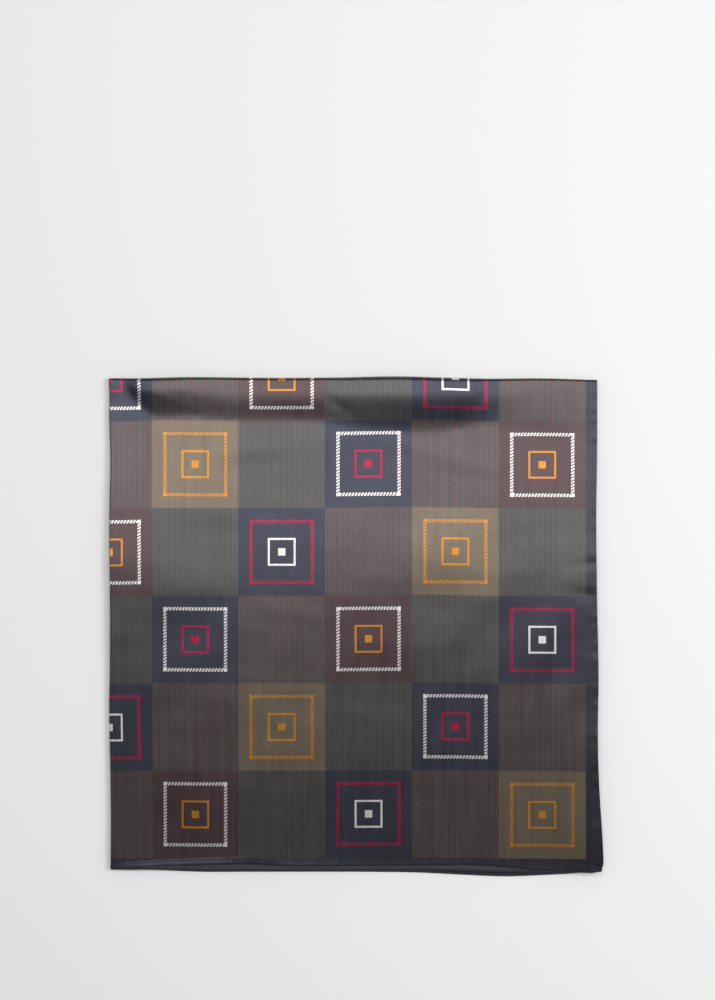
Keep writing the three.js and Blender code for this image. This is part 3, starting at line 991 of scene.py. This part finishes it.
# %% The sewing thread's material
THREAD_ROUGHNESS = 0.4
FIBRE_LENGTH, FIBRE_WIDTH = 1.8 * MM, 0.12 * MM
FIBRE_SHADE = 0.7
FIBRE_HEIGHT = 0.03 * MM

thread_dye, thread_tree, thread_shader = new_material("hem_thread")
on_thread = thread_tree.nodes.new("ShaderNodeUVMap")
on_thread.uv_map = "thread"
thread_split = thread_tree.nodes.new("ShaderNodeSeparateXYZ")
thread_tree.links.new(on_thread.outputs["UV"], thread_split.inputs[0])
along_thread, round_thread = thread_split.outputs["X"], thread_split.outputs["Y"]
with_twist = math_node(thread_tree, "SUBTRACT", along_thread, round_thread)
across_twist = math_node(thread_tree, "ADD", along_thread, round_thread)
fibres = grain(thread_tree, with_twist, across_twist, FIBRE_LENGTH, FIBRE_WIDTH)
thread_colour = shaded(thread_tree, BORDER, fibres, FIBRE_SHADE)
thread_tree.links.new(thread_colour, thread_shader.inputs["Base Color"])
raised(thread_tree, thread_shader, fibres, FIBRE_HEIGHT)
thread_shader.inputs["Roughness"].default_value = THREAD_ROUGHNESS
thread_shader.inputs["Metallic"].default_value = SHEEN_SHARE
thread_shader.inputs["Specular IOR Level"].default_value = SPECULAR
thread.data.materials.append(thread_dye)
print("the thread:", len(thread_tree.nodes), "nodes")

# %% [markdown]
# ## Floor, light and camera
#
# The scarf lies on a plain pale floor. Satin shows what it mirrors, so the studio is arranged for
# the mirror: a broad softbox hangs over and beyond the puffed fold, and the sky is dark overhead
# and pale near the horizon. The cloth mirrors the softbox in its far half and the dark sky in its
# near half, and the softbox's blurred edge makes the soft change of shade between the two. A side
# light on the right draws the soft shadows of the left and lower edges.
#
# The camera hangs straight over the floor, a little towards the puffed fold from the scarf's
# middle, which leaves the bare floor above the scarf in the frame.

# %% Floor
FLOOR_HALF = 3.0
FLOOR_TONE = (0.835, 0.835, 0.835, 1.0)
FLOOR_ROUGHNESS = 0.9
FLOOR_SPECULAR = 0.1
FLOOR_GAP = 0.05 * MM
corners = np.array([[-1, -1, 0], [1, -1, 0], [1, 1, 0], [-1, 1, 0]]) * FLOOR_HALF
corners[:, 2] = CAD_LOW[2] - FLOOR_GAP
floor = mesh_object("floor", corners, np.array([[0, 1, 2, 3]]))
paint, _, floor_shader = new_material("pale_floor")
floor_shader.inputs["Base Color"].default_value = FLOOR_TONE
floor_shader.inputs["Roughness"].default_value = FLOOR_ROUGHNESS
floor_shader.inputs["Specular IOR Level"].default_value = FLOOR_SPECULAR
floor.data.materials.append(paint)
print("floor:", 2 * FLOOR_HALF, "m a side")

# %% Sky
SKY = [
    # height on the ramp, brightness
    (0.45, 1.0),
    (0.85, 0.10),
]
SKY_STRENGTH = 0.62
world = bpy.data.worlds.new("studio")
bpy.context.scene.world = world
world.use_nodes = True
sky = world.node_tree
background = sky.nodes["Background"]
direction = sky.nodes.new("ShaderNodeTexCoord")
upness = sky.nodes.new("ShaderNodeSeparateXYZ")
sky.links.new(direction.outputs["Generated"], upness.inputs[0])
fill = sky.nodes.new("ShaderNodeValToRGB")
fill.color_ramp.interpolation = "EASE"
for element, (place, bright) in zip(fill.color_ramp.elements, SKY):
    element.position, element.color = place, (bright, bright, bright, 1.0)
sky.links.new(upness.outputs["Z"], fill.inputs["Fac"])
sky.links.new(fill.outputs["Color"], background.inputs["Color"])
background.inputs["Strength"].default_value = SKY_STRENGTH
print("sky: brightness", [bright for _, bright in SKY], "from the horizon up")

# %% Lights
LIGHTS = [
    # name, place, point that it faces, width, height, power, in metres and watts
    ("key_light", (0.05, 0.66, 2.5), (0.05, 0.66, 0), 2.2, 1.4, 36),
    ("side_light", (1.8, 0.2, 1.7), (0.2, 0, 0), 1.2, 1.0, 26),
]


def softbox(name, place, aim, width, height, power):
    """A rectangular area light that faces a point."""
    light = bpy.data.lights.new(name, "AREA")
    light.shape, light.size, light.size_y = "RECTANGLE", width, height
    light.energy = power
    made = bpy.data.objects.new(name, light)
    made.location = place
    made.rotation_euler = (Vector(place) - Vector(aim)).to_track_quat("Z", "Y").to_euler()
    bpy.context.scene.collection.objects.link(made)


for row in LIGHTS:
    softbox(*row)
    print(row[0], "of", row[5], "W")

# %% Camera
PICTURE_WIDTH, PICTURE_HEIGHT = 715, 1000
PHOTO_SCALE = 0.922 * MM
OBJECT_MIDDLE_PX = (356.15, 626.4)
CAMERA_HEIGHT = 2.2
SENSOR = 36 * MM
CLIP = (0.05, 20)
lens = bpy.data.cameras.new("camera")
camera = bpy.data.objects.new("camera", lens)
bpy.context.scene.collection.objects.link(camera)
bpy.context.scene.camera = camera
camera.location = (
    CAD_MIDDLE[0] + (PICTURE_WIDTH / 2 - OBJECT_MIDDLE_PX[0]) * PHOTO_SCALE,
    CAD_MIDDLE[1] + (OBJECT_MIDDLE_PX[1] - PICTURE_HEIGHT / 2) * PHOTO_SCALE,
    CAMERA_HEIGHT,
)
lens.sensor_width = SENSOR / MM
lens.lens = SENSOR / MM * CAMERA_HEIGHT / (PICTURE_HEIGHT * PHOTO_SCALE)
lens.clip_start, lens.clip_end = CLIP
bpy.context.scene.view_settings.view_transform = "Standard"
print("lens, mm:", round(lens.lens, 2))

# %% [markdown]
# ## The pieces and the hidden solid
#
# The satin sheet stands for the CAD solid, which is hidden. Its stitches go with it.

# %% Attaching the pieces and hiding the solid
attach(scarf, "root")
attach(thread, "root")
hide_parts("headscarf")
